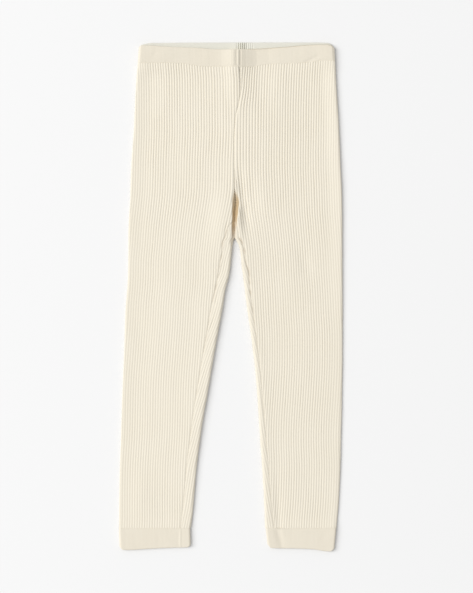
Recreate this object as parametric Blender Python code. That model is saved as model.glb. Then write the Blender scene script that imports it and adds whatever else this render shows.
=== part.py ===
# Child's ribbed leggings, laid flat with the front up.
# The origin is on the surface, under the middle of the garment. X runs to the right as seen
# from above, Y from the cuffs to the waist and Z up. Left and right are as seen from above.
import math

import bmesh
import bpy
import numpy as np

# Sizes are in millimetres and become metres where a mesh is made.
METRES_PER_MM = 0.001

# Cloth
PANEL_WALL = 1.3            # rib knit, measured between two ribs
RIB_RISE = 0.65             # how far a rib stands out of the wall
BAND_WALL = 2.6             # fine knit folded over its elastic
CUFF_WALL = 2.0             # fine knit folded double
HOLLOW = 0.6                # air between front and back
LEAST_HOLLOW = 0.15         # under a trough of the front
SEAM_GAP = 0.3              # between two pieces that are sewn together

# Ribs, counted from the side fold towards the centre
TRUNK_RIB_PITCH = 2.7       # at the side of the trunk
TRUNK_PITCH_GAIN = 0.011    # each rib of the trunk is this much wider than the last
LEG_RIB_PITCH = 2.75
PITCH_CHANGE = (112.0, 30.0)    # heights on the garment between which one becomes the other
RIBS_FROM_SIDE = 47         # enough for the widest section
FIRST_ROLLED_RIB = 26       # the first rib of the back that can reach the inner fold
WELD_SHARE = 0.4            # a line nearer than this share of half a rib to an edge joins it
RIB_EDGE_FADE = 3.0         # ribs die out over this distance from a panel's edge
RIB_GROUND_FADE = 1.6       # and below this height, where the cloth rests on the surface

# How finely a section is traced before its lines are read from it
ARC_POINTS = 25
LEVEL_POINTS = 60
HAIR = 0.01                 # keeps the last point of one stretch off the first of the next
NORMAL_STEP = 0.3           # to either side of a point, for the direction of its section

# Round folds
SHARP_DEGREES = 25.0        # a rib's faces meet at more, a fold's at less
SIDE_FOLD_REACH = 2.8       # from the side of the fold in to where the cloth is level
INNER_FOLD_REACH = 3.0
INNER_LIFT = 1.3            # the cloth stands this much higher beside the inner fold of a leg
LIFT_WIDTH = 17.0
BAND_LIFT = 1.3             # the panels rise to meet the thicker band
BAND_LIFT_LENGTH = 18.0
SEAM_LIFT = {-1: 0.45, 1: 0.15}     # the left edge of the centre seam lies higher
SEAM_LIFT_WIDTH = 5.0

# Heights on the garment, from the top down
VALLEY_TOP = 117.0          # the centre seam starts to sink between the legs
BACK_RISE_POWER = 1.5       # the back rises to the crotch later than the front sinks to it
LEG_FORM_LENGTH = 60.0      # below there the panels take on the form of a leg over this length
CROTCH = 84.0               # centre seams and inseams meet
CROTCH_FOLD = 65.0          # the two legs lie against each other down to here
CUFF_SEAM = -253.9
PANEL_ROWS = (
    253.8, 238.0, 217.0, 194.0, 170.0, 145.0, 122.0, 108.0, 95.0, CROTCH, 79.0, 73.4,
    CROTCH_FOLD, 61.0, 50.0, 36.0, 18.0, -6.0, -36.0, -68.0, -103.0, -140.0, -178.0, -216.0,
    CUFF_SEAM,
)
SEAM_CURVE_SHARE = (1.0, 0.5, 0.12)     # how much of the waist seam's curve each top row keeps

SIDE_COLUMNS = ("y", "left", "right")
SIDES = (
    (256.0, -101.4, 114.9),
    (225.2, -104.1, 116.4),
    (185.6, -105.9, 118.6),
    (146.0, -108.7, 120.3),
    (106.4, -110.1, 121.9),
    (66.8, -112.0, 122.3),
    (27.2, -112.3, 122.3),
    (-12.4, -115.1, 122.4),
    (-52.0, -116.4, 122.4),
    (-104.8, -118.6, 121.8),
    (-157.6, -120.3, 120.8),
    (-210.4, -121.8, 119.2),
    (-256.0, -122.3, 116.3),
)

# The cloth stands this much higher beside a side fold
LIFT_COLUMNS = ("y", "lift")
SIDE_LIFTS = (
    (256.0, 1.7), (140.0, 1.5), (20.0, 1.2), (-120.0, 1.0), (-256.0, 1.0),
)

CENTRE_COLUMNS = ("y", "x")
CENTRE_SEAM = (
    (262.0, 9.0),
    (226.3, 10.8),
    (212.6, 9.4),
    (192.2, 5.6),
    (161.4, 4.5),
    (117.4, 4.9),
    (CROTCH, 5.3),
)

# The inner edge of each leg, and how far the inseam is rolled in from it on the front
INNER_COLUMNS = ("y", "left", "right", "left_roll", "right_roll")
INNER_EDGES = (
    (79.0, 4.75, 5.05, 5.0, 2.4),
    (73.4, 4.35, 4.65, 7.6, 4.4),
    (CROTCH_FOLD, 3.95, 4.25, 9.6, 5.6),
    (61.0, 1.2, 8.7, 9.0, 3.9),
    (51.4, 0.4, 10.9, 9.2, 4.2),
    (27.2, -1.8, 14.7, 10.8, 5.6),
    (-12.4, -10.1, 19.6, 10.8, 5.8),
    (-52.0, -16.7, 25.1, 10.9, 5.6),
    (-104.8, -26.0, 29.9, 11.1, 5.4),
    (-157.6, -34.3, 33.7, 10.6, 6.1),
    (-210.4, -40.3, 37.2, 10.2, 6.9),
    (-256.0, -44.0, 39.8, 10.3, 8.6),
)

# Soft swells and troughs of the laid cloth: heading is from +X towards +Y
FOLD_COLUMNS = ("x", "y", "half_length", "half_width", "heading", "rise")
SOFT_FOLDS = (
    (3.0, 236.0, 34.0, 8.0, 91.0, 0.6),
    (25.0, 232.0, 32.0, 9.0, 88.0, -0.35),
    (-17.0, 90.0, 32.0, 10.0, 92.0, 0.4),
    (16.2, 88.0, 19.0, 3.2, 95.0, -0.6),
    (-4.0, 42.0, 30.0, 4.5, 80.0, -0.5),
    (80.0, 38.0, 17.0, 9.0, 104.0, -0.35),
    (63.0, 49.0, 16.0, 9.0, 96.0, 0.3),
    (-62.0, -8.0, 62.0, 20.0, 86.0, 0.35),
    (84.0, -62.0, 70.0, 18.0, 91.0, 0.3),
    (-84.0, -158.0, 58.0, 16.0, 94.0, 0.3),
    (78.0, -196.0, 44.0, 15.0, 88.0, 0.25),
    (-52.0, 168.0, 48.0, 26.0, 92.0, 0.25),
    (70.0, 158.0, 55.0, 24.0, 87.0, 0.25),
)

# Waistband: where its two rims are, seen from above
BAND_SEAM_ENDS = (-101.4, 114.9)
BAND_TOP_ENDS = (-100.2, 114.0)
RIM_COLUMNS = ("x", "y")
FRONT_WAIST_SEAM = (
    (-90.0, 256.2), (-77.0, 256.4), (-55.0, 256.0), (-24.0, 252.4), (22.0, 252.3),
    (39.0, 255.3), (77.0, 256.6), (90.0, 257.6), (103.0, 259.2),
)
BACK_WAIST_SEAM = (
    (-82.0, 256.2), (-60.0, 259.4), (0.0, 260.3), (95.0, 259.2),
)
FRONT_WAIST_TOP = (
    (-100.2, 273.4), (-95.9, 275.9), (-70.6, 274.6), (-33.2, 273.0), (-6.8, 271.5),
    (10.8, 271.7), (54.8, 273.7), (104.3, 276.7), (110.2, 275.6), (114.0, 272.0),
)
BACK_WAIST_TOP = (
    (-100.2, 273.4), (-95.9, 277.9), (-80.0, 279.5), (0.0, 279.8), (90.0, 279.7),
    (106.0, 279.1), (110.2, 277.7), (114.0, 272.0),
)
FRONT_STATIONS = 20         # sections across a ring's front
BACK_STATIONS = 12
FOLD_STATIONS = 7
FOLD_LIFT_SHARE = 0.13      # of a ring's width, over which its front rises to a side fold
BAND_FOLD_LIFT = 0.8        # the band stands higher over its side folds
BAND_BULGE = 0.35           # the elastic fills the front's face

# Cuffs: both rims, with the free rim a little narrower than the seam
CUFFS = {
    "left": {
        "seam_ends": (-122.3, -43.9),
        "free_ends": (-121.4, -43.4),
        "free_rim": (
            (-121.4, -274.4), (-117.0, -278.0), (-90.0, -276.8), (-60.0, -275.5),
            (-47.5, -275.2), (-43.4, -272.2),
        ),
    },
    "right": {
        "seam_ends": (39.8, 116.4),
        "free_ends": (44.2, 114.2),
        "free_rim": (
            (44.2, -272.0), (48.5, -275.8), (70.0, -276.4), (92.0, -277.4),
            (109.5, -279.7), (114.2, -276.4),
        ),
    },
}
CUFF_FOLD_LIFT = 0.7
CUFF_BULGE = 0.2

CREAM = (0.87, 0.82, 0.69)
CREAM_FINE = (0.83, 0.78, 0.66)


def smooth_step(share):
    share = np.clip(share, 0.0, 1.0)
    return share * share * (3.0 - 2.0 * share)


def column(table, names, name):
    place = names.index(name)
    return np.array([row[place] for row in table], float)


# A smooth curve through a table's points that never runs past them: each stretch is a cubic,
# and its slope at a point is the harmonic mean of the two chords there, or level at a turn.
def curve_at(places, values, wanted):
    order = np.argsort(places)
    places = places[order]
    values = values[order]
    chords = np.diff(values) / np.diff(places)
    before = chords[:-1]
    after = chords[1:]
    same_way = before * after > 0.0
    means = np.where(same_way, 2.0 * before * after / np.where(same_way, before + after, 1.0), 0.0)
    slopes = np.concatenate([chords[:1], means, chords[-1:]])
    wanted = np.clip(np.asarray(wanted, float), places[0], places[-1])
    left = np.clip(np.searchsorted(places, wanted) - 1, 0, len(places) - 2)
    width = places[left + 1] - places[left]
    t = (wanted - places[left]) / width
    start = values[left] + slopes[left] * width * t
    end = values[left + 1] - slopes[left + 1] * width * (1.0 - t)
    ease = smooth_step(t)
    return start * (1.0 - ease) + end * ease


def read_curve(table, names, along, name, wanted):
    return curve_at(column(table, names, along), column(table, names, name), wanted)


def soft_fold_rise(x, y):
    rise = np.zeros_like(x)
    for fold in SOFT_FOLDS:
        size = dict(zip(FOLD_COLUMNS, fold))
        turn = math.radians(size["heading"])
        dx = x - size["x"]
        dy = y - size["y"]
        along = dx * math.cos(turn) + dy * math.sin(turn)
        across = dy * math.cos(turn) - dx * math.sin(turn)
        spread = (along / size["half_length"]) ** 2 + (across / size["half_width"]) ** 2
        rise += size["rise"] * np.exp(-spread)
    return rise


# Where a panel's sides are in one row. Distances called reach are measured away from the
# middle of the garment, so one set of rules serves both legs.
def row_limits(side, y):
    name = "left" if side < 0 else "right"
    limits = {"outer": side * float(read_curve(SIDES, SIDE_COLUMNS, "y", name, y)) - RIB_RISE}
    if y >= CROTCH:
        centre = float(read_curve(CENTRE_SEAM, CENTRE_COLUMNS, "y", "x", y))
        limits["inner"] = side * centre + SEAM_GAP / 2.0
        limits["sink"] = float(smooth_step((VALLEY_TOP - y) / (VALLEY_TOP - CROTCH)))
        limits["roll"] = 0.0
    else:
        limits["inner"] = side * float(read_curve(INNER_EDGES, INNER_COLUMNS, "y", name, y))
        limits["sink"] = 1.0
        limits["roll"] = float(read_curve(INNER_EDGES, INNER_COLUMNS, "y", name + "_roll", y))
    return limits


# Height of the front's face between two ribs
def front_height(side, y, reach, limits):
    from_outer = limits["outer"] - reach
    from_inner = reach - limits["inner"]
    leg_share = float(smooth_step((VALLEY_TOP - y) / LEG_FORM_LENGTH))
    near_band = float(smooth_step(1.0 - (PANEL_ROWS[0] - y) / BAND_LIFT_LENGTH))
    height = np.full_like(reach, 2.0 * PANEL_WALL + HOLLOW)
    side_lift = float(read_curve(SIDE_LIFTS, LIFT_COLUMNS, "y", "lift", y))
    height += side_lift * smooth_step(1.0 - from_outer / LIFT_WIDTH)
    height += leg_share * INNER_LIFT * smooth_step(1.0 - from_inner / LIFT_WIDTH)
    height += (1.0 - leg_share) * SEAM_LIFT[side] * smooth_step(1.0 - from_inner / SEAM_LIFT_WIDTH)
    height += BAND_LIFT * near_band * smooth_step(from_outer / LIFT_WIDTH)
    height += soft_fold_rise(side * reach, np.full_like(reach, y))
    return np.maximum(height, 2.0 * PANEL_WALL + LEAST_HOLLOW)


# One section of a leg panel, from its edge on the back round the side fold to its edge on the
# front. Outer and inner points go in pairs, the inner one a wall's thickness further in.
def panel_section(side, y):
    limits = row_limits(side, y)
    outer_level = limits["outer"] - SIDE_FOLD_REACH
    inner_level = limits["inner"] + INNER_FOLD_REACH
    top_outer = float(front_height(side, y, np.array([outer_level]), limits)[0])
    top_inner = float(front_height(side, y, np.array([inner_level]), limits)[0])
    wall = PANEL_WALL
    quarter = np.linspace(0.0, math.pi / 2.0, ARC_POINTS // 2 + 1)
    outer = []
    inner = []

    def add(reach, height, inner_reach, inner_height):
        outer.append(np.column_stack(np.broadcast_arrays(reach, height)))
        inner.append(np.column_stack(np.broadcast_arrays(inner_reach, inner_height)))

    def fold(angles):
        # The inner fold of a leg, with 0 at its top and half a turn at its underside
        middle = top_inner / 2.0
        add(inner_level - INNER_FOLD_REACH * np.sin(angles), middle + middle * np.cos(angles),
            inner_level - (INNER_FOLD_REACH - wall) * np.sin(angles),
            middle + (middle - wall) * np.cos(angles))

    def level(start, end):
        reach = np.linspace(start, end, LEVEL_POINTS)
        height = front_height(side, y, reach, limits)
        add(reach, height, reach, height - wall)

    arc_radius = (INNER_FOLD_REACH + top_inner / 2.0) / 2.0
    joint = -arc_radius * math.pi / 2.0
    if y < CROTCH:
        from_level = limits["roll"] - INNER_FOLD_REACH
        sunk_share = np.clip(1.0 - limits["roll"] / INNER_FOLD_REACH, 0.0, 1.0)
        joint = from_level if from_level > 0.0 else -arc_radius * math.asin(sunk_share)
    back_end = joint - SEAM_GAP / 2.0
    front_end = joint + SEAM_GAP / 2.0

    # Back edge, up to the underside
    if y > CROTCH:
        share = limits["sink"] ** BACK_RISE_POWER
        rise = top_inner / 2.0 * share
        turned = 1.0 - np.cos(quarter[::-1])
        add(inner_level - INNER_FOLD_REACH * np.sin(quarter[::-1]), rise * turned,
            inner_level - (INNER_FOLD_REACH - share * wall) * np.sin(quarter[::-1]),
            wall + (rise - share * wall) * turned)
    else:
        if back_end > 0.0:
            level(inner_level + back_end, inner_level + HAIR)
        start = max(0.0, -back_end / arc_radius)
        fold(np.linspace(start, math.pi, ARC_POINTS))
    back_length_points = sum(len(part) for part in outer)

    # Underside
    reach = np.linspace(inner_level, outer_level, LEVEL_POINTS)[1:-1]
    add(reach, 0.0, reach, wall)
    side_start_points = sum(len(part) for part in outer)

    # Side fold, from its underside to its top
    angles = np.linspace(math.pi, 0.0, ARC_POINTS)
    middle = top_outer / 2.0
    add(outer_level + SIDE_FOLD_REACH * np.sin(angles), middle + middle * np.cos(angles),
        outer_level + (SIDE_FOLD_REACH - wall) * np.sin(angles),
        middle + (middle - wall) * np.cos(angles))
    side_end_points = sum(len(part) for part in outer)

    # Front, to its edge
    if y > CROTCH:
        level(outer_level - HAIR, inner_level)
        drop = top_inner / 2.0 * limits["sink"]
        turned = 1.0 - np.cos(quarter[1:])
        add(inner_level - INNER_FOLD_REACH * np.sin(quarter[1:]), top_inner - drop * turned,
            inner_level - (INNER_FOLD_REACH - limits["sink"] * wall) * np.sin(quarter[1:]),
            top_inner - wall - (drop - limits["sink"] * wall) * turned)
    elif front_end > 0.0:
        level(outer_level - HAIR, inner_level + front_end)
    else:
        level(outer_level - HAIR, inner_level)
        fold(np.linspace(HAIR, -front_end / arc_radius, ARC_POINTS // 2))

    outer = np.concatenate(outer)
    inner = np.concatenate(inner)
    steps = np.hypot(*np.diff(outer, axis=0).T)
    along = np.concatenate([[0.0], np.cumsum(steps)])
    along -= along[side_start_points + ARC_POINTS // 2]
    return {
        "y": y, "along": along, "outer": outer, "inner": inner,
        "back_edge": along[0], "back_level": along[back_length_points - 1],
        "inner_tip": along[np.argmin(outer[:back_length_points, 0])],
        "side_low": along[side_start_points], "side_high": along[side_end_points - 1],
        "front_edge": along[-1],
    }


# Distance of a half rib's line from the tip of the side fold: odd lines are ribs
def rib_line(half_rib, y):
    leg_share = float(smooth_step((PITCH_CHANGE[0] - y) / (PITCH_CHANGE[0] - PITCH_CHANGE[1])))
    pitch = TRUNK_RIB_PITCH + (LEG_RIB_PITCH - TRUNK_RIB_PITCH) * leg_share
    gain = TRUNK_PITCH_GAIN * (1.0 - leg_share)
    ribs = half_rib / 2.0
    return pitch * ribs + gain * ribs * abs(ribs) / 2.0


# The waist seam runs straight between the band's stations and level round the side folds, and
# both of the pieces that it joins follow it, half a gap to either side.
def waist_seam_height(x, is_front):
    table = FRONT_WAIST_SEAM if is_front else BACK_WAIST_SEAM
    start, end = BAND_SEAM_ENDS
    places = start + level_shares(is_front) * (end - start)
    heights = read_curve(table, RIM_COLUMNS, "x", "y", places)
    return float(np.interp(x, places, heights))


# Where a ring's stations are on its level stretches, as shares of its width
def level_shares(is_front):
    return np.linspace(0.0, 1.0, FRONT_STATIONS if is_front else BACK_STATIONS)[1:-1]


# The top rows follow the curve of the waist seam: the front's on the front, the back's on the
# back, and a blend of the two round the side fold.
def row_height_at(row, section, x, along):
    if row >= len(SEAM_CURVE_SHARE):
        return section["y"]
    front_share = float(smooth_step((along - section["side_low"])
                                    / (section["side_high"] - section["side_low"])))
    seam = (waist_seam_height(x, True) * front_share
            + waist_seam_height(x, False) * (1.0 - front_share) - SEAM_GAP / 2.0)
    return section["y"] + SEAM_CURVE_SHARE[row] * (seam - PANEL_ROWS[0])


def section_place(section, layer, along):
    return [float(np.interp(along, section["along"], section[layer][:, i])) for i in (0, 1)]


def outward_normal(section, along):
    ahead = section_place(section, "outer", along + NORMAL_STEP)
    behind = section_place(section, "outer", along - NORMAL_STEP)
    reach_step = ahead[0] - behind[0]
    height_step = ahead[1] - behind[1]
    length = math.hypot(reach_step, height_step)
    return height_step / length, -reach_step / length


def panel_point(side, row, section, along, layer, rise=0.0):
    reach, height = section_place(section, layer, along)
    if rise:
        edge = min(section["front_edge"] - along, along - section["back_edge"])
        fade = float(smooth_step(edge / RIB_EDGE_FADE) * smooth_step(height / RIB_GROUND_FADE))
        normal = outward_normal(section, along)
        reach += rise * fade * normal[0]
        height = max(0.0, height + rise * fade * normal[1])
    x = side * reach
    return (x, row_height_at(row, section, x, along), height)


# No line is nearer than this to the end of a level stretch
END_SHARE = 0.04

# Lines of a panel's inside, as shares of each stretch from the front edge to the back edge
FRONT_EDGE_SHARES = (0.0, 0.013, 0.03)
SIDE_FOLD_SHARES = (0.0, 0.25, 0.5, 0.75)
INNER_FOLD_SHARES = (0.0, 0.25, 0.5, 0.75, 1.0)


# Where the waistband's stations meet a panel's level stretch, as shares of it from the side
# fold inwards. The panel has lines there, so its edge is cut to the same corners as the band's.
def station_shares(side, is_front):
    limits = row_limits(side, PANEL_ROWS[0])
    start, end = BAND_SEAM_ENDS
    reach = side * (start + level_shares(is_front) * (end - start))
    outer_level = limits["outer"] - SIDE_FOLD_REACH
    inner_end = limits["inner"] + (0.0 if is_front else INNER_FOLD_REACH)
    shares = np.sort((outer_level - reach) / (outer_level - inner_end))
    return [float(share) for share in shares if END_SHARE < share < 1.0 - END_SHARE]


# The lines on which a panel's outer points lie in one row, from the front edge to the back
# edge. A rib's line that runs past an edge ends there, on the edge's own point.
def outer_lines(section, underside_shares):
    lines = [(section["front_edge"], 0.0)]
    width = rib_line(2, section["y"]) / 2.0

    def add_ribs(half_ribs, sign, low, high):
        for half_rib in half_ribs:
            along = sign * rib_line(half_rib, section["y"])
            rise = RIB_RISE if half_rib % 2 else 0.0
            if along > high - WELD_SHARE * width:
                lines.append((high, 0.0))
            elif along < low + WELD_SHARE * width:
                lines.append((low, 0.0))
            else:
                lines.append((along, rise))

    add_ribs(range(2 * RIBS_FROM_SIDE, -4, -1), 1.0, section["side_low"], section["front_edge"])
    for share in (0.0, *underside_shares, 1.0):
        lines.append((section["side_low"] + share * (section["back_level"] - section["side_low"]), 0.0))
    rolled = range(2 * FIRST_ROLLED_RIB, 2 * RIBS_FROM_SIDE)
    add_ribs(rolled, -1.0, section["inner_tip"], section["back_level"])
    lines.append((section["inner_tip"], 0.0))
    add_ribs(rolled, -1.0, section["back_edge"], section["inner_tip"])
    lines.append((section["back_edge"], 0.0))
    return lines


def inner_lines(section, front_shares, underside_shares):
    from_front = [1.0 - share for share in front_shares[::-1]]
    stretches = (
        ("front_edge", "side_high", (*FRONT_EDGE_SHARES, *from_front, 1.0 - END_SHARE)),
        ("side_high", "side_low", SIDE_FOLD_SHARES),
        ("side_low", "back_level", (0.0, *underside_shares)),
        ("back_level", "back_edge", INNER_FOLD_SHARES),
    )
    lines = []
    for start, end, shares in stretches:
        for share in shares:
            lines.append(section[start] + share * (section[end] - section[start]))
    return lines


# Triangles between two lines of points that run the same way, always taking the shorter step
def zip_faces(first, second):
    faces = []
    i = 0
    j = 0
    while i < len(first) - 1 or j < len(second) - 1:
        take_first = j == len(second) - 1
        if i < len(first) - 1 and j < len(second) - 1:
            take_first = first[i + 1][0] >= second[j + 1][0]
        if take_first:
            faces.append((first[i][1], first[i + 1][1], second[j][1]))
            i += 1
        else:
            faces.append((first[i][1], second[j + 1][1], second[j][1]))
            j += 1
    return faces


def without_repeats(face):
    kept = [point for place, point in enumerate(face) if point != face[place - 1]]
    return tuple(kept)


def strip_faces(row_a, row_b):
    faces = []
    for place in range(len(row_a) - 1):
        corners = without_repeats((row_a[place], row_a[place + 1], row_b[place + 1], row_b[place]))
        if len(corners) > 2:
            faces.append(corners)
    return faces


def make_piece(name, points, faces, material, collection):
    mesh = bpy.data.meshes.new(name)
    mesh.from_pydata([tuple(METRES_PER_MM * value for value in point) for point in points], [], faces)
    form = bmesh.new()
    form.from_mesh(mesh)
    bmesh.ops.triangulate(form, faces=form.faces[:])
    bmesh.ops.recalc_face_normals(form, faces=form.faces[:])
    form.to_mesh(mesh)
    form.free()
    mesh.shade_smooth()
    mesh.set_sharp_from_angle(angle=math.radians(SHARP_DEGREES))
    mesh.materials.append(material)
    piece = bpy.data.objects.new(name, mesh)
    collection.objects.link(piece)
    return piece


# A leg is one panel: it starts at the centre front, wraps the side and ends at the centre back,
# and below the crotch its back edge comes round the inner fold to the inseam on the front.
def make_leg(name, side, material, collection):
    points = []
    faces = []
    outer_rows = []
    inner_rows = []
    front_shares = station_shares(side, True)
    underside_shares = station_shares(side, False)
    for row, y in enumerate(PANEL_ROWS):
        section = panel_section(side, y)
        outer_row = []
        inner_row = []
        for along, rise in outer_lines(section, underside_shares):
            if not outer_row or abs(outer_row[-1][0] - along) > 1e-6:
                points.append(panel_point(side, row, section, along, "outer", rise))
            outer_row.append((along, len(points) - 1))
        for along in inner_lines(section, front_shares, underside_shares):
            points.append(panel_point(side, row, section, along, "inner"))
            inner_row.append((along, len(points) - 1))
        outer_rows.append(outer_row)
        inner_rows.append(inner_row)
    for row in range(len(PANEL_ROWS) - 1):
        outer_a, outer_b = ([point for _, point in outer_rows[row + i]] for i in (0, 1))
        inner_a, inner_b = ([point for _, point in inner_rows[row + i]] for i in (0, 1))
        faces += strip_faces(outer_a, outer_b)
        faces += strip_faces(inner_b, inner_a)
        faces.append((outer_a[0], outer_b[0], inner_b[0], inner_a[0]))
        faces.append((outer_a[-1], inner_a[-1], inner_b[-1], outer_b[-1]))
    for outer_row, inner_row in ((outer_rows[0], inner_rows[0]), (outer_rows[-1], inner_rows[-1])):
        outer_points = [item for place, item in enumerate(outer_row)
                        if place == 0 or item[1] != outer_row[place - 1][1]]
        faces += zip_faces(outer_points, inner_row)
    return make_piece(name, points, faces, material, collection)


# A ring that lies flat: its front on its back, with a round fold at each end. Each station has
# a place across the ring and the direction in which its wall faces outwards.
def ring_stations(wall, fold_lift):
    back = wall / 2.0
    front = wall + HOLLOW + wall / 2.0
    front_fold = front + fold_lift
    radius = (front_fold - back) / 2.0
    stations = []

    def fold_at(end, angle):
        # The angle is 0 where the fold leaves the front and half a turn where it meets the back
        stations.append({
            "share": end, "inset": radius * (1.0 - math.sin(angle)) + wall / 2.0,
            "height": back + radius + radius * math.cos(angle),
            "normal": ((1.0 if end else -1.0) * math.sin(angle), math.cos(angle)),
            "front_share": (1.0 + math.cos(angle)) / 2.0,
        })

    def level_at(share, is_front):
        near_end = 1.0 - min(share, 1.0 - share) / FOLD_LIFT_SHARE
        lift = fold_lift * float(smooth_step(near_end))
        stations.append({
            "share": share, "inset": None, "height": front + lift if is_front else back,
            "normal": (0.0, 1.0 if is_front else -1.0), "front_share": 1.0 if is_front else 0.0,
        })

    for angle in np.linspace(math.pi, 0.0, FOLD_STATIONS):
        fold_at(0.0, angle)
    for share in level_shares(True):
        level_at(share, True)
    for angle in np.linspace(0.0, math.pi, FOLD_STATIONS):
        fold_at(1.0, angle)
    for share in level_shares(False)[::-1]:
        level_at(share, False)
    return stations


def rim_place(station, rim):
    start, end = rim["ends"]
    if station["inset"] is None:
        x = start + station["share"] * (end - start)
    else:
        x = start + station["inset"] if station["share"] == 0.0 else end - station["inset"]
    front_y = rim["height"](x, True)
    back_y = rim["height"](x, False)
    return x, back_y + station["front_share"] * (front_y - back_y)


# The wall's own outline, from the seam rim along its outer face, over the free rim and back
# along its inner face. Each row is a distance from the seam rim, or from the free rim where it
# is negative, then the share of half the wall, then the share of the bulge.
WALL_OUTLINE = (
    (0.0, 0.55, 0.0), (0.9, 1.0, 0.0), (6.5, 1.0, 1.0), (-6.0, 1.0, 1.0), (-1.5, 1.0, 0.0),
    (-0.45, 0.72, 0.0), (0.0, 0.0, 0.0), (-0.45, -0.72, 0.0), (-1.5, -1.0, 0.0),
    (0.9, -1.0, 0.0), (0.0, -0.55, 0.0),
)
FREE_RIM_POINT = 6


def make_ring(name, wall, fold_lift, bulge, seam_rim, free_rim, material, collection):
    points = []
    faces = []
    stations = ring_stations(wall, fold_lift)
    for station in stations:
        seam_x, seam_y = rim_place(station, seam_rim)
        free_x, free_y = rim_place(station, free_rim)
        length = abs(free_y - seam_y)
        for place, (distance, across, bulge_share) in enumerate(WALL_OUTLINE):
            from_free = distance < 0.0 or place == FREE_RIM_POINT
            share = (length + distance if from_free else distance) / length
            front_only = max(0.0, station["normal"][1])
            offset = across * wall / 2.0 + bulge_share * bulge * front_only
            x = seam_x + share * (free_x - seam_x) + offset * station["normal"][0]
            y = seam_y + share * (free_y - seam_y)
            points.append((x, y, max(0.0, station["height"] + offset * station["normal"][1])))
    size = len(WALL_OUTLINE)
    for station in range(len(stations)):
        here = station * size
        ahead = (station + 1) % len(stations) * size
        for place in range(size):
            step = (place + 1) % size
            faces.append((here + place, here + step, ahead + step, ahead + place))
    return make_piece(name, points, faces, material, collection)


def waist_top_height(x, is_front):
    table = FRONT_WAIST_TOP if is_front else BACK_WAIST_TOP
    return float(read_curve(table, RIM_COLUMNS, "x", "y", x))


def make_waistband(material, collection):
    def seam_height(x, is_front):
        return waist_seam_height(x, is_front) + SEAM_GAP / 2.0

    seam_rim = {"ends": BAND_SEAM_ENDS, "height": seam_height}
    free_rim = {"ends": BAND_TOP_ENDS, "height": waist_top_height}
    return make_ring("waistband", BAND_WALL, BAND_FOLD_LIFT, BAND_BULGE, seam_rim, free_rim,
                     material, collection)


def make_cuff(name, sizes, material, collection):
    def seam_height(x, is_front):
        return CUFF_SEAM - SEAM_GAP

    def free_height(x, is_front):
        return float(read_curve(sizes["free_rim"], RIM_COLUMNS, "x", "y", x))

    seam_rim = {"ends": sizes["seam_ends"], "height": seam_height}
    free_rim = {"ends": sizes["free_ends"], "height": free_height}
    return make_ring(name, CUFF_WALL, CUFF_FOLD_LIFT, CUFF_BULGE, seam_rim, free_rim,
                     material, collection)


def make_cloth(name, colour, roughness):
    material = bpy.data.materials.new(name)
    material.use_nodes = True
    shader = material.node_tree.nodes["Principled BSDF"]
    shader.inputs["Base Color"].default_value = (*colour, 1.0)
    shader.inputs["Roughness"].default_value = roughness
    shader.inputs["Metallic"].default_value = 0.0
    return material


def main():
    for old in list(bpy.data.objects):
        bpy.data.objects.remove(old, do_unlink=True)
    collection = bpy.data.collections.new("ribbed_leggings")
    bpy.context.scene.collection.children.link(collection)
    rib_knit = make_cloth("rib knit", CREAM, 0.9)
    fine_knit = make_cloth("fine knit", CREAM_FINE, 0.9)
    make_leg("leg_left", -1, rib_knit, collection)
    make_leg("leg_right", 1, rib_knit, collection)
    make_waistband(fine_knit, collection)
    for place, sizes in CUFFS.items():
        make_cuff("cuff_" + place, sizes, fine_knit, collection)


main()
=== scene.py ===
# A child's cream rib-knit leggings, laid flat on a pale surface and seen from straight above.
# Lengths are in millimetres until a mesh is made. Left and right are as seen from above.
import math

import bpy
import numpy as np
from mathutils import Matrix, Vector


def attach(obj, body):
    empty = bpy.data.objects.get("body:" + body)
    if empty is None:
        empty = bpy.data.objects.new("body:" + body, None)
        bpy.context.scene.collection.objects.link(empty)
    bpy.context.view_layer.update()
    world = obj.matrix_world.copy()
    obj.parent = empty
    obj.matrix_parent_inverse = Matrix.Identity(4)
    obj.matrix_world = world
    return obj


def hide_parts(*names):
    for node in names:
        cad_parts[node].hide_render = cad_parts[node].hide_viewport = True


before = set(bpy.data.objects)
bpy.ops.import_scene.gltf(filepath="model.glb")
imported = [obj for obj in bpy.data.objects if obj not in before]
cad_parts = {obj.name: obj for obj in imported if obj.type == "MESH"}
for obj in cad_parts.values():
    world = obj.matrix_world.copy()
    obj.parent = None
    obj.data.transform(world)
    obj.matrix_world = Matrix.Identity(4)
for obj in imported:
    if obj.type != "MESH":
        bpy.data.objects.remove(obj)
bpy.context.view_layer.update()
perMm = 0.001
quarterTurn = math.pi / 2.0
print("frame loaded")


# 0 to 1 with level ends: 3t² - 2t³
def smoothStep(share):
    share = np.clip(share, 0.0, 1.0)
    return share * share * (3.0 - 2.0 * share)


# 1 at no distance and 0 from the given length on: the same curve, falling
def near(distance, length):
    return smoothStep(1.0 - distance / length)


# A bell of height 1 and the given half width: e to the minus square
def bell(distance, halfWidth):
    return np.exp(-(distance / halfWidth) ** 2)


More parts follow.
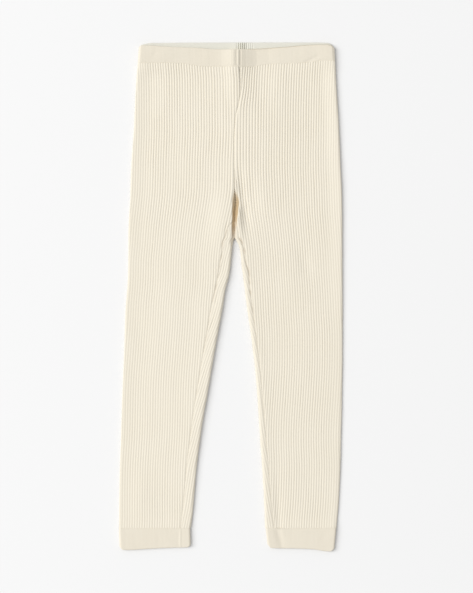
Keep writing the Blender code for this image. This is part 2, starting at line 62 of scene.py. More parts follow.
# A smooth curve through rows of (place, value, ...) that never runs past them: a cubic in each
# stretch, whose slope at a row is the harmonic mean of the chords beside it, or 0 at a turn
def curveThrough(table, wanted, value=1):
    rows = np.array(sorted(table), float)
    places = rows[:, 0]
    values = rows[:, value]
    chords = np.diff(values) / np.diff(places)
    before = chords[:-1]
    after = chords[1:]
    sameWay = before * after > 0.0
    means = np.where(sameWay, 2.0 * before * after / np.where(sameWay, before + after, 1.0), 0.0)
    slopes = np.concatenate([chords[:1], means, chords[-1:]])
    wanted = np.clip(np.asarray(wanted, float), places[0], places[-1])
    left = np.clip(np.searchsorted(places, wanted) - 1, 0, len(places) - 2)
    width = places[left + 1] - places[left]
    t = (wanted - places[left]) / width
    start = values[left] + slopes[left] * width * t
    end = values[left + 1] - slopes[left + 1] * width * (1.0 - t)
    ease = smoothStep(t)
    return start * (1.0 - ease) + end * ease


# The same for the left (-1) or right (1) leg, from rows of (y, left, right), or further columns
def forSide(table, side, y, further=0):
    return curveThrough(table, y, (1 if side < 0 else 2) + further)


# The front's curve, the back's, or a blend of the two round a side fold
def frontOrBack(curves, x, frontShare):
    front = curveThrough(curves["front"], x)
    back = curveThrough(curves["back"], x)
    return back + frontShare * (front - back)


# Gentle unevenness between about -1 and 1: a sum of sine waves of random direction, stretch and
# phase. The wave is its length across, its length along and a seed, to which a leg adds its side.
def unevenness(x, y, wave, side=0):
    lengthX, lengthY, seed = wave
    chance = np.random.default_rng(seed + side)
    waves = 7
    total = np.zeros(np.broadcast(x, y).shape)
    for _ in range(waves):
        turn = chance.uniform(0.0, 2.0 * math.pi)
        stretch = chance.uniform(0.7, 1.6)
        phase = chance.uniform(0.0, 2.0 * math.pi)
        total += np.sin(2.0 * math.pi * stretch
                        * (x / lengthX * math.cos(turn) + y / lengthY * math.sin(turn)) + phase)
    return total / math.sqrt(2.0 * waves)


# Swells and troughs: each is a bell stretched along its heading, from +X towards +Y
def creaseRise(creases, x, y):
    rise = np.zeros(np.broadcast(x, y).shape)
    for centreX, centreY, halfLength, halfWidth, heading, height in creases:
        turn = math.radians(heading)
        along = (x - centreX) * math.cos(turn) + (y - centreY) * math.sin(turn)
        across = (y - centreY) * math.cos(turn) - (x - centreX) * math.sin(turn)
        rise += height * bell(along, halfLength) * bell(across, halfWidth)
    return rise


# The four corners of every cell of a grid, for the points' numbers and for their UV
def gridCells(numbers, uv, turned=False):
    corners = [(slice(None, -1), slice(None, -1)), (slice(None, -1), slice(1, None)),
               (slice(1, None), slice(1, None)), (slice(1, None), slice(None, -1))]
    if turned:
        corners = corners[::-1]
    cells = np.stack([numbers[corner].ravel() for corner in corners], axis=1)
    places = np.stack([uv[corner].reshape(-1, 2) for corner in corners], axis=1)
    return cells, places


# An object in the scene, at the origin until it is placed
def addObject(name, data):
    made = bpy.data.objects.new(name, data)
    bpy.context.scene.collection.objects.link(made)
    return made


# One mesh from arrays: a cell whose neighbours share a point loses that corner, a cell left with
# fewer than three corners is dropped, and so is a point that no cell uses
def makePiece(name, points, parts, material, paintedShade=None, sharpDegrees=50.0):
    cells = np.concatenate([part[0] for part in parts])
    places = np.concatenate([part[1] for part in parts])
    kept = cells != np.roll(cells, 1, axis=1)
    corners = kept.sum(axis=1)
    fours = corners == 4
    threes = corners == 3
    loops = np.concatenate([cells[fours].ravel(), cells[threes][kept[threes]]])
    loopUv = np.concatenate([places[fours].reshape(-1, 2), places[threes][kept[threes]]])
    sizes = np.concatenate([np.full(fours.sum(), 4), np.full(threes.sum(), 3)])
    used, numbers = np.unique(loops, return_inverse=True)
    mesh = bpy.data.meshes.new(name)
    mesh.vertices.add(len(used))
    mesh.vertices.foreach_set("co", (points[used] * perMm).ravel())
    mesh.loops.add(len(loops))
    mesh.loops.foreach_set("vertex_index", numbers.ravel())
    mesh.polygons.add(len(sizes))
    mesh.polygons.foreach_set("loop_start", np.concatenate([[0], np.cumsum(sizes)[:-1]]))
    mesh.update(calc_edges=True)
    mesh.validate()
    mesh.uv_layers.new(name="knit").data.foreach_set("uv", loopUv.ravel())
    # the share of painted shade, which the knit's colour reads
    if paintedShade is not None:
        layer = mesh.attributes.new("paintedShade", "FLOAT", "POINT")
        layer.data.foreach_set("value", paintedShade[used].astype(np.float32))
    mesh.shade_smooth()
    mesh.set_sharp_from_angle(angle=math.radians(sharpDegrees))
    mesh.materials.append(material)
    print(name, "has", len(mesh.polygons), "faces")
    return addObject(name, mesh)


# sRGB hex to linear: v / 12.92 near black, otherwise ((v + 0.055) / 1.055) to the power 2.4
def linearColour(hexText):
    values = [int(hexText[place:place + 2], 16) / 255.0 for place in (0, 2, 4)]
    linear = [v / 12.92 if v <= 0.04045 else ((v + 0.055) / 1.055) ** 2.4 for v in values]
    return (*linear, 1.0)


# A node with its own settings; a socket takes a value, or the output that feeds it
def addNode(tree, kind, settings, sockets):
    node = tree.nodes.new(kind)
    for name, value in settings.items():
        setattr(node, name, value)
    for name, value in sockets.items():
        if isinstance(value, bpy.types.NodeSocket):
            tree.links.new(value, node.inputs[name])
        else:
            node.inputs[name].default_value = value
    return node


# A material, its nodes and its shader, with these values on the shader's own sockets
def startMaterial(name, values):
    material = bpy.data.materials.new(name)
    material.use_nodes = True
    shader = material.node_tree.nodes["Principled BSDF"]
    for socket, value in values.items():
        shader.inputs[socket].default_value = value
    return material, material.node_tree, shader


# Cotton knit: matt yarn with a soft nap, so it has no gloss and a little sheen at grazing angles.
# Shade between its wales and warm shade in its hollows are painted into its colour. U counts ribs or
# wales, V is the length along them in mm.
def makeKnit(name, look):
    material, tree, shader = startMaterial(name, {
        "Roughness": 0.92, "IOR": 1.45, "Specular IOR Level": 0.2, "Sheen Weight": look["sheen"],
        "Sheen Roughness": 0.45, "Sheen Tint": linearColour(look["crestHex"])})
    uv = addNode(tree, "ShaderNodeUVMap", {"uv_map": "knit"}, {}).outputs["UV"]
    parts = addNode(tree, "ShaderNodeSeparateXYZ", {}, {"Vector": uv})
    place = addNode(tree, "ShaderNodeTexCoord", {}, {}).outputs["Object"]
    fibre = addNode(tree, "ShaderNodeTexNoise", {}, {
        "Vector": place, "Scale": look["fibrePerM"], "Detail": 3.0, "Roughness": 0.6})

    # height in steps: each stitch is a V whose two legs lean away from the middle of the wale
    made = {"u": parts.outputs["X"], "v": parts.outputs["Y"], "fibre": fibre.outputs["Fac"]}
    for step, operation, *values in (
            ("wale", "FRACT", "u"),
            ("fromMiddle", "SUBTRACT", "wale", 0.5),
            ("fromCrest", "ABSOLUTE", "fromMiddle"),
            ("course", "DIVIDE", "v", look["courseMm"]),
            ("leaning", "MULTIPLY", "fromCrest", look["stitchLean"]),
            ("turns", "SUBTRACT", "course", "leaning"),
            ("angle", "MULTIPLY", "turns", 2.0 * math.pi),
            ("wave", "SINE", "angle"),
            ("aboveTrough", "ADD", "wave", 1.0),
            ("square", "MULTIPLY", "fromCrest", "fromCrest"),
            ("fall", "MULTIPLY", "square", 4.0),
            ("waleRound", "SUBTRACT", 1.0, "fall"),
            ("halfRound", "MULTIPLY", "waleRound", 0.5),
            ("stitch", "MULTIPLY", "aboveTrough", "halfRound"),
            ("stitchPart", "MULTIPLY", "stitch", look["stitchShare"]),
            ("walePart", "MULTIPLY", "waleRound", look["waleShare"]),
            ("fibrePart", "MULTIPLY", "fibre", look["fibreShare"]),
            ("softPart", "ADD", "walePart", "fibrePart"),
            ("height", "ADD", "stitchPart", "softPart")):
        sockets = {number: made.get(value, value) for number, value in enumerate(values)}
        made[step] = addNode(tree, "ShaderNodeMath", {"operation": operation}, sockets).outputs[0]
    bump = addNode(tree, "ShaderNodeBump", {}, {
        "Strength": look["bumpStrength"], "Distance": look["bumpMm"] * perMm,
        "Height": made["height"]})

    # colour: the crest's cream, painted shade between the wales and in folds, faint mottling
    between = addNode(tree, "ShaderNodeMapRange", {"interpolation_type": "SMOOTHSTEP"}, {
        "Value": made["fromCrest"], "From Min": look["valleyFrom"], "From Max": 0.5,
        "To Min": 0.0, "To Max": look["valleyPaintedShade"]})
    mottle = addNode(tree, "ShaderNodeTexNoise", {}, {
        "Vector": place, "Scale": look["mottlePerM"], "Detail": 2.0, "Roughness": 0.5})
    mottleShare = addNode(tree, "ShaderNodeMapRange", {}, {
        "Value": mottle.outputs["Fac"], "From Min": 0.3, "From Max": 0.7, "To Min": 0.0,
        "To Max": look["mottleTint"]})
    deeper = addNode(tree, "ShaderNodeMath", {"operation": "ADD"}, {
        0: between.outputs["Result"], 1: mottleShare.outputs["Result"]})
    # painted shade in deep folds and seams, from the mesh; greyer towards the valley's end
    folds = addNode(tree, "ShaderNodeAttribute", {"attribute_name": "paintedShade"}, {})
    lowShare = addNode(tree, "ShaderNodeMapRange", {}, {
        "Value": made["v"], "From Min": look["foldEnd"], "From Max": look["foldStart"],
        "To Min": 1.0, "To Max": 0.0})
    colours = {name: linearColour(look[name]) for name in look if name.endswith("Hex")}
    for step, share, one, other in (
            ("cream", deeper.outputs[0], "crestHex", "valleyShadeHex"),
            ("fold", lowShare.outputs["Result"], "foldShadeHex", "foldLowShadeHex"),
            ("knit", folds.outputs["Fac"], "cream", "fold")):
        colours[step] = addNode(tree, "ShaderNodeMix", {"data_type": "RGBA"}, {
            "Factor": share, 6: colours[one], 7: colours[other]}).outputs[2]
    tree.links.new(colours["knit"], shader.inputs["Base Color"])
    tree.links.new(bump.outputs["Normal"], shader.inputs["Normal"])
    return material


ribKnitLook = {
    # the valley colour is painted shade between the ribs
    "crestHex": "e3dccd", "valleyShadeHex": "dad1bb",
    "foldShadeHex": "bda580",            # painted shade of deep folds, where cream lights cream
    "foldLowShadeHex": "b3a088", "foldStart": 88.0, "foldEnd": 66.0,     # painted shade, greyer over these V
    "courseMm": 1.35, "stitchLean": 1.3,
    "stitchShare": 0.8, "waleShare": 0.0, "fibreShare": 0.5,
    "fibrePerM": 2600.0, "mottlePerM": 22.0, "mottleTint": 0.12,
    "valleyFrom": 0.3, "valleyPaintedShade": 0.35,
    "bumpStrength": 0.7, "bumpMm": 0.22, "sheen": 0.25,
}
fineKnitLook = {
    # the valley colour is painted shade between the wales
    "crestHex": "e0d9ca", "valleyShadeHex": "d8ceb9",
    "foldShadeHex": "dad8cd",            # painted shade on the greyer inside of the waistband
    "foldLowShadeHex": "dad8cd", "foldStart": 1.0, "foldEnd": 0.0,
    "courseMm": 0.95, "stitchLean": 1.1,
    "stitchShare": 0.5, "waleShare": 0.6, "fibreShare": 0.35,
    "fibrePerM": 3000.0, "mottlePerM": 26.0, "mottleTint": 0.12,
    "valleyFrom": 0.25, "valleyPaintedShade": 0.45,
    "bumpStrength": 0.6, "bumpMm": 0.2, "sheen": 0.25,
}
ribKnit = makeKnit("cotton rib knit", ribKnitLook)
fineKnit = makeKnit("fine plain cotton knit", fineKnitLook)


# Spun cotton thread: two plies twisted together, which show as slanting ridges on a matt yarn,
# with painted shade in the grooves between them.
# U is the share of the way round it, V the length along it in mm.
threadLook = {"plyHex": "e6e0d0", "grooveShadeHex": "cfc6b0", "twistMm": 1.1, "bumpMm": 0.08}
thread, threadTree, threadShader = startMaterial(
    "spun cotton thread", {"Roughness": 0.85, "Specular IOR Level": 0.25})
threadUv = addNode(threadTree, "ShaderNodeUVMap", {"uv_map": "knit"}, {})
threadParts = addNode(threadTree, "ShaderNodeSeparateXYZ", {}, {"Vector": threadUv.outputs["UV"]})
turns = addNode(threadTree, "ShaderNodeMath", {"operation": "DIVIDE"}, {
    0: threadParts.outputs["Y"], 1: threadLook["twistMm"]})
twist = addNode(threadTree, "ShaderNodeMath", {"operation": "ADD"}, {
    0: threadParts.outputs["X"], 1: turns.outputs[0]})
ply = addNode(threadTree, "ShaderNodeMath", {"operation": "PINGPONG"}, {
    0: twist.outputs[0], 1: 0.25})
plyShare = addNode(threadTree, "ShaderNodeMath", {"operation": "MULTIPLY"}, {
    0: ply.outputs[0], 1: 4.0})
# painted shade in the grooves between the plies
plyColour = addNode(threadTree, "ShaderNodeMix", {"data_type": "RGBA"}, {
    "Factor": plyShare.outputs[0], 6: linearColour(threadLook["grooveShadeHex"]),
    7: linearColour(threadLook["plyHex"])})
plyBump = addNode(threadTree, "ShaderNodeBump", {}, {
    "Strength": 0.6, "Distance": threadLook["bumpMm"] * perMm, "Height": plyShare.outputs[0]})
threadTree.links.new(plyColour.outputs[2], threadShader.inputs["Base Color"])
threadTree.links.new(plyBump.outputs["Normal"], threadShader.inputs["Normal"])
print("materials made")


# The seam that the two legs and the waistband share: x, y
waistSeam = {
    "front": (
        (-101.4, 256.2), (-90, 256.2), (-77, 256.4), (-55, 256), (-24, 252.4),
        (22, 252.3), (39, 255.3), (77, 256.6), (90, 257.6), (103, 259.2),
        (114.9, 259.2),
    ),
    "back": (
        (-101.4, 256.2), (-82, 256.2), (-60, 259.4), (0, 260.3), (95, 259.2),
        (114.9, 259.2),
    ),
}


legSizes = {
    "wall": 1.0,                # rib knit between two ribs
    "hollow": 0.6, "leastHollow": 0.1,      # air between front and back
    "ribRise": 0.56,            # how far a rib stands out at the hips
    "legRibShare": 0.72, "legRibLength": 100.0,     # its share on the legs, where cloth is wider
    "ribRoundness": 0.75,       # below 1 the ribs are fuller and their valleys narrower
    "ribLimit": 1.3,            # no rib is taller than this share
    # share of the rise by which ribs differ, and of a rib by which they stray; the wave of each
    # is its length across, its length along and a seed
    "ribUneven": 0.14, "unevenWave": (2.7, 120, 47),
    "ribWander": 0.05, "wanderWave": (9, 90, 31),
    "seamGap": 0.03,            # the sewing draws the edges together
    "waistGap": 0.02,
    "seamFade": 1.6,            # ribs die out over this distance from a seam
    "sideFade": 0.45, "sideFadeRibs": (2, 5),   # and are weaker round a side fold
    "groundFade": 1.6,          # below this height the cloth rests on its crests
    "offGround": 0.05,          # and its inner face stays above this one
    # y, then the depth of a seam's groove: left, right
    "seamDip": ((84, 0.25, 0.25), (20, 0.25, 0.22), (-50, 0.2, 0.14), (-254, 0.12, 0.06)),
    "seamDipWidth": 1.2,
    # y, then how much painted shade deepens the colour in an inseam's groove: left, right
    "inseamPaintedShade": ((84, 0.2, 0.3), (56, 0.3, 0.4), (27, 0.25, 0.4), (0, 0.22, 0.28),
                   (-40, 0.14, 0.12), (-120, 0.08, 0.04), (-254, 0.06, 0.02)),
    "inseamTintWidth": 1.4, "inseamStart": 6.0,
    # mean and swing of that painted shade along it, its limit and its wave
    "dashes": (0.55, 0.8, 1.2), "dashWave": (18, 18, 61),
    "backSeamLift": 0.45, "backSeamLiftWidth": 3.5,
    "trunkPitch": 2.7, "pitchGain": 0.011, "legPitch": 2.75, "pitchChange": (126, 44),
    # y, then how far the ribs lie inwards of an even count from the side fold: left, right
    "ribShift": (
        (258, 0, 0), (222, 3.2, 3.5), (198, 4.3, 5.5), (173, 5.6, 7),
        (149, 6.4, 8.2), (125, 6.8, 8.8), (101, 6, 8.6), (77, 4.7, 7.2),
        (58, 3.6, 5.8), (29, 1.9, 4.1), (-15, 2.1, 1.7), (-59, 0.7, 0.1),
        (-103, -0.2, 1), (-147, 0.2, 2.6), (-191, -0.7, 0.9), (-254, -0.1, 0.2),
    ),
    # y, then the same for ribs beside the right of the centre seam, which follow it
    "seamShift": ((258, -2.6), (234, -2.6), (203, 1.6), (150, 1.2), (112, 0),
                  (-254, 0)),
    "seamShiftRibs": (28, 39),
    "frontFractions": (0, 0.14, 0.32, 0.5, 0.68, 0.86),   # columns in each rib of the front
    "backFractions": (0, 0.2, 0.5, 0.8),
    "frontRibs": 44, "backRibs": 51,
    "weldShare": 0.12,              # of a rib: a column nearer than this to a seam ends on it
    # points on each stretch of a panel's outline
    "points": {"fold": 28, "strip": 20, "under": 60, "side": 33, "front": 150},
    # y, then how far a side fold reaches in plan: left, right
    "sideFoldReach": ((256, 1, 2.2), (20, 1, 2.4), (-60, 1, 4.2), (-254, 1, 4.2)),
    "innerFoldReach": {-1: 2.6, 1: 2.3}, "liftWidth": 17.0,
    "sideInset": {-1: 0.3, 1: 0.0},     # leaves room for the ribs on a side fold
    # y, then how much higher the cloth lies beside a side fold: left, right
    "sideLift": ((256, 1.3, 1.9), (140, 0.7, 1.5), (20, 0.6, 0.6), (-120, 0.5, 0.1),
                 (-238, 0.6, 0.2), (-254, 0.6, 0.6)),
    # y, then the same beside an inner fold
    "innerLift": ((84, 0.6, 0.5), (20, 0.7, 0.5), (-60, 0.7, 0.5), (-130, 0.6, 0.5),
                  (-190, 0.4, 0.7), (-238, 0.3, 0.7), (-254, 0.2, -0.45)),
    # y, then how much thicker the garment is at its middle than at its sides: left, right
    "tilt": ((254, 1.9, 2.2), (180, 2.1, 2.5), (84, 2, 2.2), (0, 2, 2.2),
             (-120, 1.8, 2.1), (-200, 1.2, 1.7), (-254, 0.5, 0.8)),
    # x, then how far the cloth rises to meet the band's face
    "bandLift": ((-101, 1.9), (-97, 2.6), (-90, 3.1), (-80, 3), (-65, 2.4),
                 (-45, 1.8), (-15, 1.4), (-2, 2.1), (3, 2.45), (8, 2.05), (14, 1.4),
                 (20, 0.6), (26, 0), (52, 0.1), (76, 1.1), (94, 2), (101, 2.2),
                 (108, 1.6), (115, 0.8)),
    "bandLiftLength": 16.0, "cuffLift": 0.9, "cuffLiftLength": 12.0,
    "seamLift": {-1: 0.45, 1: 0.15}, "seamLiftWidth": 5.0,
    "crotch": 84.0,                 # centre seams and inseams meet
    "crotchFold": 65.0, "crotchFoldLength": 3.0,    # the legs lie against each other above it
    "legFormTop": 117.0, "legFormLength": 60.0,
    # the valley between the legs: y where it starts, length of its start, y and length of its end
    "valleyTop": 125.0, "valleyLength": 22.0, "valleyEnd": 52.0, "valleyEndLength": 12.0,
    "valleyExtra": 0.9, "valleyExtraLength": 8.0,   # the front sinks deeper above the crotch
    "sinkPower": 1.5, "tintDepth": 0.16,            # its painted shade is full this share down
    "thinShare": 0.75, "thinWidth": 7.0,            # its wall is pressed thin beside the seam
    # y, then how wide its slopes are: left, right
    "valleyReach": ((124, 4.2, 5.2), (108, 4.2, 6.4), (98, 4, 5.4), (84, 4.4, 3.6),
                    (72, 5, 2.3), (60, 4.6, 2.3), (52, 3.2, 2.4)),
    # y, then how much painted shade deepens the colour in the valley: left, right
    "valleyPaintedShade": ((121, 0, 0), (114, 0.5, 0.55), (106, 0.75, 0.85), (94, 0.95, 0.95),
                   (80, 1, 0.7), (72, 0.85, 0.4), (65, 0.5, 0.15), (58, 0.15, 0),
                   (50, 0, 0)),
    "topRow": 253.8, "cuffSeam": -253.9,
    "rowSteps": ((253.8, 125, 3.2), (125, 52, 1.45), (52, -253.9, 3.1)),
    "seamCurveShare": ((253.8, 1), (238, 0.5), (217, 0.12), (194, 0)),
    "ripple": 0.09, "rippleWave": (34, 70, 11),     # unevenness of the laid cloth
    # y, left, right
    "sides": (
        (256, -101.4, 115.2), (225.2, -104.1, 117), (185.6, -105.9, 119.5),
        (146, -108.7, 121.2), (106.4, -110.1, 122.8), (66.8, -112, 123.2),
        (27.2, -112.3, 123.3), (-12.4, -115.1, 123.5), (-52, -116.4, 123.5),
        (-104.8, -118.6, 122.9), (-157.6, -120.3, 121.8), (-210.4, -121.8, 120.1),
        (-256, -122.3, 116.7),
    ),
    # y, x
    "centreSeam": (
        (262, 9), (226.3, 10.8), (212.6, 9.4), (192.2, 5.6), (161.4, 4.5), (117.4, 4.9),
        (84, 5.3), (60, 5.3),
    ),
    # y, left, right, then how far each inseam is rolled in on the front
    "innerEdges": (
        (90, 5.3, 5.3, 0, 0), (84, 5.3, 5.3, 0, 0), (79, 5.2, 5.2, 5.3, 2.1),
        (73.4, 5.2, 5.2, 8.3, 3.7), (66, 5.1, 5.2, 10.5, 4.4), (61.5, 3.3, 7.3, 11, 4.9),
        (56, 2.2, 9.8, 10.7, 4.2), (49, 1.4, 11.6, 10.3, 4), (38, 0.3, 12.5, 10.9, 4.7),
        (27.2, -0.9, 13.9, 11.7, 6.6), (7.4, -5.5, 16.5, 10.9, 5.3),
        (-12.4, -8.6, 18.9, 12.3, 5.6), (-52, -15.8, 24.5, 11.8, 5.4),
        (-104.8, -24.7, 29.8, 11.8, 5.5), (-157.6, -33.3, 33.3, 10.9, 6.5),
        (-210.4, -39.1, 36.9, 10.7, 7.2), (-234.6, -41.1, 38, 11.1, 8.3),
        (-256, -44, 38.9, 10.3, 9.5),
    ),
    # x, y, half length, half width, heading, rise
    "creases": (
        (4, 242, 27, 8, 91, 1.6),           # the cloth stands up left of the centre seam
        (33, 236, 32, 16, 86, -1.8),        # and sinks right of it
        (86, 206, 70, 34, 90, -1.1),
        (-8, 84, 34, 13, 82, 1.6),          # the left leg bulges beside the crotch
        (9.2, 87, 18, 2.6, 98, 1.7),        # the right leg's fold stands up beside it
        (15.2, 101, 22, 4.6, 99, -2.8),     # and has a trough beyond
        (24, 106, 24, 8, 98, -1.3),
        (12, 130, 14, 5, 96, -1.1),
        (-5, 75, 7.5, 0.9, 74, -0.7),       # wrinkles along the left inseam
        (-2.6, 66, 9, 0.8, 74, -0.5),
        (-6.4, 62, 12, 0.9, 69, -0.5),
        (-9.8, 42, 10, 0.9, 67, -0.5),
        (-12, 22, 14, 1, 76, -0.45),
        (-15.6, -4, 11, 0.9, 70, -0.4),
        (-21, -34, 13, 1, 74, -0.35),
        (15.4, 56, 9, 0.9, 108, -0.55),     # and the right one
        (18.6, 36, 8, 0.8, 98, -0.4),
        (23.4, 5, 14, 0.9, 99, -0.4),
        (-4, 42, 30, 4.5, 80, -0.5),
        (82, 38, 15, 8, 108, -0.9),
        (66, 18, 30, 12, 94, 0.5),
        (-62, -8, 62, 20, 86, 0.35),
        (84, -62, 70, 18, 91, 0.3),
        (-98, -222, 34, 13, 84, 0.8),
        (64, -214, 46, 14, 84, 0.4),
        (53, -240, 32, 4.6, 92, -0.9),      # the roll beside the right inner fold
        (61, -240, 32, 11, 90, -0.4),
        (-66, 220, 30, 20, 92, 0.5),
        (-52, 158, 48, 26, 92, 0.25),
    ),
    # where the ribs are drawn together and stand out more: the same columns, rise is a share
    "ribSwells": (
        (24, 224, 26, 13, 96, 0.4),
        (16, 100, 26, 9, 97, 0.35),
        (10, 122, 13, 8, 97, 0.6),
        (-14, 84, 32, 13, 90, -0.5),        # stretched smooth on the left leg's bulge
        (-80, -60, 190, 60, 92, -0.2),
        (-56, 116, 50, 46, 92, -0.2),
    ),
    # the same on the underside, where a swell is lifted off the surface, away from the folds
    "undersideFade": 9.0,
    "undersideCreases": (
        (-40, 150, 60, 12, 80, 0.35), (52, 120, 70, 14, 97, 0.3),
        (-70, 20, 46, 9, 100, 0.35), (74, -40, 60, 11, 84, 0.4),
        (-84, -120, 55, 10, 92, 0.3), (84, -180, 40, 9, 95, 0.3),
        (22, 96, 20, 6, 60, 0.35), (-14, 100, 22, 6, 118, 0.35),
    ),
}


# The limits of each row, measured away from the middle of the garment
def rowLimits(side, y):
    sizes = legSizes
    trunk = y >= sizes["crotch"]
    centre = side * curveThrough(sizes["centreSeam"], y)
    leg = side * forSide(sizes["innerEdges"], side, y)
    together = near(sizes["crotchFold"] - y, sizes["crotchFoldLength"])
    roll = forSide(sizes["innerEdges"], side, y, 2)
    sink = smoothStep((sizes["valleyTop"] - y) / (sizes["valleyTop"] - sizes["crotch"]))
    inValley = (smoothStep((sizes["valleyTop"] - y) / sizes["valleyLength"])
                * smoothStep((y - sizes["valleyEnd"]) / sizes["valleyEndLength"]))
    return {
        "outer": side * forSide(sizes["sides"], side, y) - sizes["sideInset"][side],
        "inner": np.where(trunk, centre, leg) + sizes["seamGap"] / 2.0 * together,
        "roll": np.where(trunk, 0.0, roll),
        "sink": np.where(trunk, sink, 1.0),
        "inValley": inValley,
        "trunk": trunk,
    }


# Height of the front between two ribs: the cloth lies on the back, rises to its folds, to the
# thicker band and along the centre seam, and has its creases and a slight ripple on top
def frontHeight(side, y, reach, limits):
    sizes = legSizes
    x = side * reach
    fromOuter = limits["outer"] - reach
    fromInner = reach - limits["inner"]
    way = np.clip(fromOuter / (limits["outer"] - limits["inner"]), 0.0, 1.0)
    legShare = smoothStep((sizes["legFormTop"] - y) / sizes["legFormLength"])
    innerLift = legShare * forSide(sizes["innerLift"], side, y)
    seamLift = (1.0 - legShare) * sizes["seamLift"][side]
    height = 2.0 * sizes["wall"] + sizes["hollow"]
    height += forSide(sizes["sideLift"], side, y) * near(fromOuter, sizes["liftWidth"])
    height += innerLift * near(fromInner, sizes["liftWidth"])
    height += forSide(sizes["tilt"], side, y) * way
    height += seamLift * near(fromInner, sizes["seamLiftWidth"])
    height += curveThrough(sizes["bandLift"], x) * near(sizes["topRow"] - y, sizes["bandLiftLength"])
    height += sizes["cuffLift"] * near(y - sizes["cuffSeam"], sizes["cuffLiftLength"])
    height += creaseRise(sizes["creases"], x, y)
    height += sizes["ripple"] * unevenness(x, y, sizes["rippleWave"], side)
    return np.maximum(height, 2.0 * sizes["wall"] + sizes["leastHollow"])


# The cloth's outer line in every row at once, as (reach, height, sunk): from the back's edge
# round the inner fold, along the underside, round the side fold and along the front to its edge.
# Folds are half ellipses; above the crotch the inner one is cut at its tip and sinks into the
# valley. Sunk is the share of the cloth's height by which a place lies below its top.
def panelLines(side, y):
    sizes = legSizes
    count = sizes["points"]
    y = y[:, None]
    limits = rowLimits(side, y)
    inValley = limits["inValley"]
    valleyReach = forSide(sizes["valleyReach"], side, y)
    innerReach = sizes["innerFoldReach"][side] * (1.0 - inValley) + valleyReach * inValley
    outerReach = forSide(sizes["sideFoldReach"], side, y)
    outerLevel = limits["outer"] - outerReach
    innerLevel = limits["inner"] + innerReach
    topOuter = frontHeight(side, y, outerLevel, limits)
    topInner = frontHeight(side, y, innerLevel, limits)
    middle = topInner / 2.0
    radius = (innerReach + middle) / 2.0
    rolled = limits["roll"] - innerReach
    sunkArc = -radius * np.arcsin(np.clip(1.0 - limits["roll"] / innerReach, 0.0, 1.0))
    joint = np.where(rolled > 0.0, rolled, sunkArc)
    backEnd = joint - sizes["seamGap"] / 2.0
    frontEnd = joint + sizes["seamGap"] / 2.0
    aboveCrotch = smoothStep((y - sizes["crotch"]) / sizes["valleyExtraLength"])
    valley = sizes["valleyExtra"] * inValley * aboveCrotch
    none = np.zeros_like(y)

    def share(stretch):
        return np.linspace(0.0, 1.0, count[stretch])[None, :]

    def sunkShare(height):
        return (topInner - height) / topInner

    # an ellipse away from the valley; in it, a slope with level ends
    def upperFold(angle, drop):
        way = np.minimum(angle / quarterTurn, 1.0)
        out = np.sin(angle) * (1.0 - inValley) + way * inValley
        down = (1.0 - np.cos(angle)) * (1.0 - inValley) + smoothStep(way) * inValley
        return innerLevel - innerReach * out, topInner - drop * down

    lines = []
    # the back's edge: rolled on to the front below the crotch, then round the inner fold
    startAngle = np.clip(-backEnd / radius, 0.0, quarterTurn)
    angle = startAngle + (math.pi - startAngle) * share("fold")
    backRise = np.where(limits["trunk"], limits["sink"] ** sizes["sinkPower"], 1.0)
    upperReach, upper = upperFold(angle, middle)
    lower = (middle - valley) * backRise * (1.0 + np.cos(angle))
    onTop = angle < quarterTurn
    foldReach = np.where(onTop, upperReach, innerLevel - innerReach * np.sin(angle))
    foldHeight = np.where(onTop, upper, lower)
    strip = innerLevel + np.maximum(backEnd, 0.0) * (1.0 - share("strip"))
    stripHeight = frontHeight(side, y, strip, limits)
    hasStrip = backEnd > 0.0
    lines.append((np.where(hasStrip, strip, foldReach[:, :1]),
                  np.where(hasStrip, stripHeight, foldHeight[:, :1]),
                  np.where(hasStrip, 0.0, sunkShare(foldHeight[:, :1]))))
    lines.append((foldReach, foldHeight, sunkShare(foldHeight)))
    under = innerLevel + (outerLevel - innerLevel) * share("under")
    fromFolds = np.minimum(under - innerLevel, outerLevel - under)
    lifted = creaseRise(sizes["undersideCreases"], side * under, y)
    lines.append((under, lifted * smoothStep(fromFolds / sizes["undersideFade"]), none))
    # round the side fold
    angle = math.pi * (1.0 - share("side"))
    lines.append((outerLevel + outerReach * np.sin(angle),
                  topOuter / 2.0 * (1.0 + np.cos(angle)), none))
    tip = sum(line[0].shape[1] for line in lines) - count["side"] // 2 - 1
    # along the front to its edge, which lies on the inner fold where nothing is rolled
    front = outerLevel + (innerLevel + np.maximum(frontEnd, 0.0) - outerLevel) * share("front")
    frontLine = frontHeight(side, y, front, limits)
    lines.append((front, frontLine, none))
    angle = np.clip(-frontEnd / radius, 0.0, quarterTurn) * share("fold")
    foldReach, foldHeight = upperFold(angle, middle * limits["sink"] + valley)
    hasStrip = frontEnd > 0.0
    lines.append((np.where(hasStrip, front[:, -1:], foldReach),
                  np.where(hasStrip, frontLine[:, -1:], foldHeight),
                  np.where(hasStrip, 0.0, sunkShare(foldHeight))))

    rows = len(y)
    found = {}
    for place, name in enumerate(("reach", "height", "sunk")):
        found[name] = np.concatenate(
            [np.broadcast_to(line[place], (rows, line[0].shape[1])) for line in lines], axis=1)
    steps = np.hypot(np.diff(found["reach"], axis=1), np.diff(found["height"], axis=1))
    steps += 1e-6       # so that no step is 0
    along = np.concatenate([np.zeros((rows, 1)), np.cumsum(steps, axis=1)], axis=1)
    along -= along[:, tip:tip + 1]
    foldLength = quarterTurn * (outerReach + topOuter / 2.0) / 2.0
    found.update({"along": along, "low": along[:, :1], "high": along[:, -1:],
                  "foldLength": foldLength, "inValley": inValley})
    return found


# Values of every row's line at the wanted distances along it, all rows in one interpolation:
# each row's distances are moved further than any line is long
def readLines(lines, name, wanted):
    apart = np.arange(len(wanted))[:, None] * 1e4
    flat = np.interp((wanted + apart).ravel(), (lines["along"] + apart).ravel(), lines[name].ravel())
    return flat.reshape(wanted.shape)


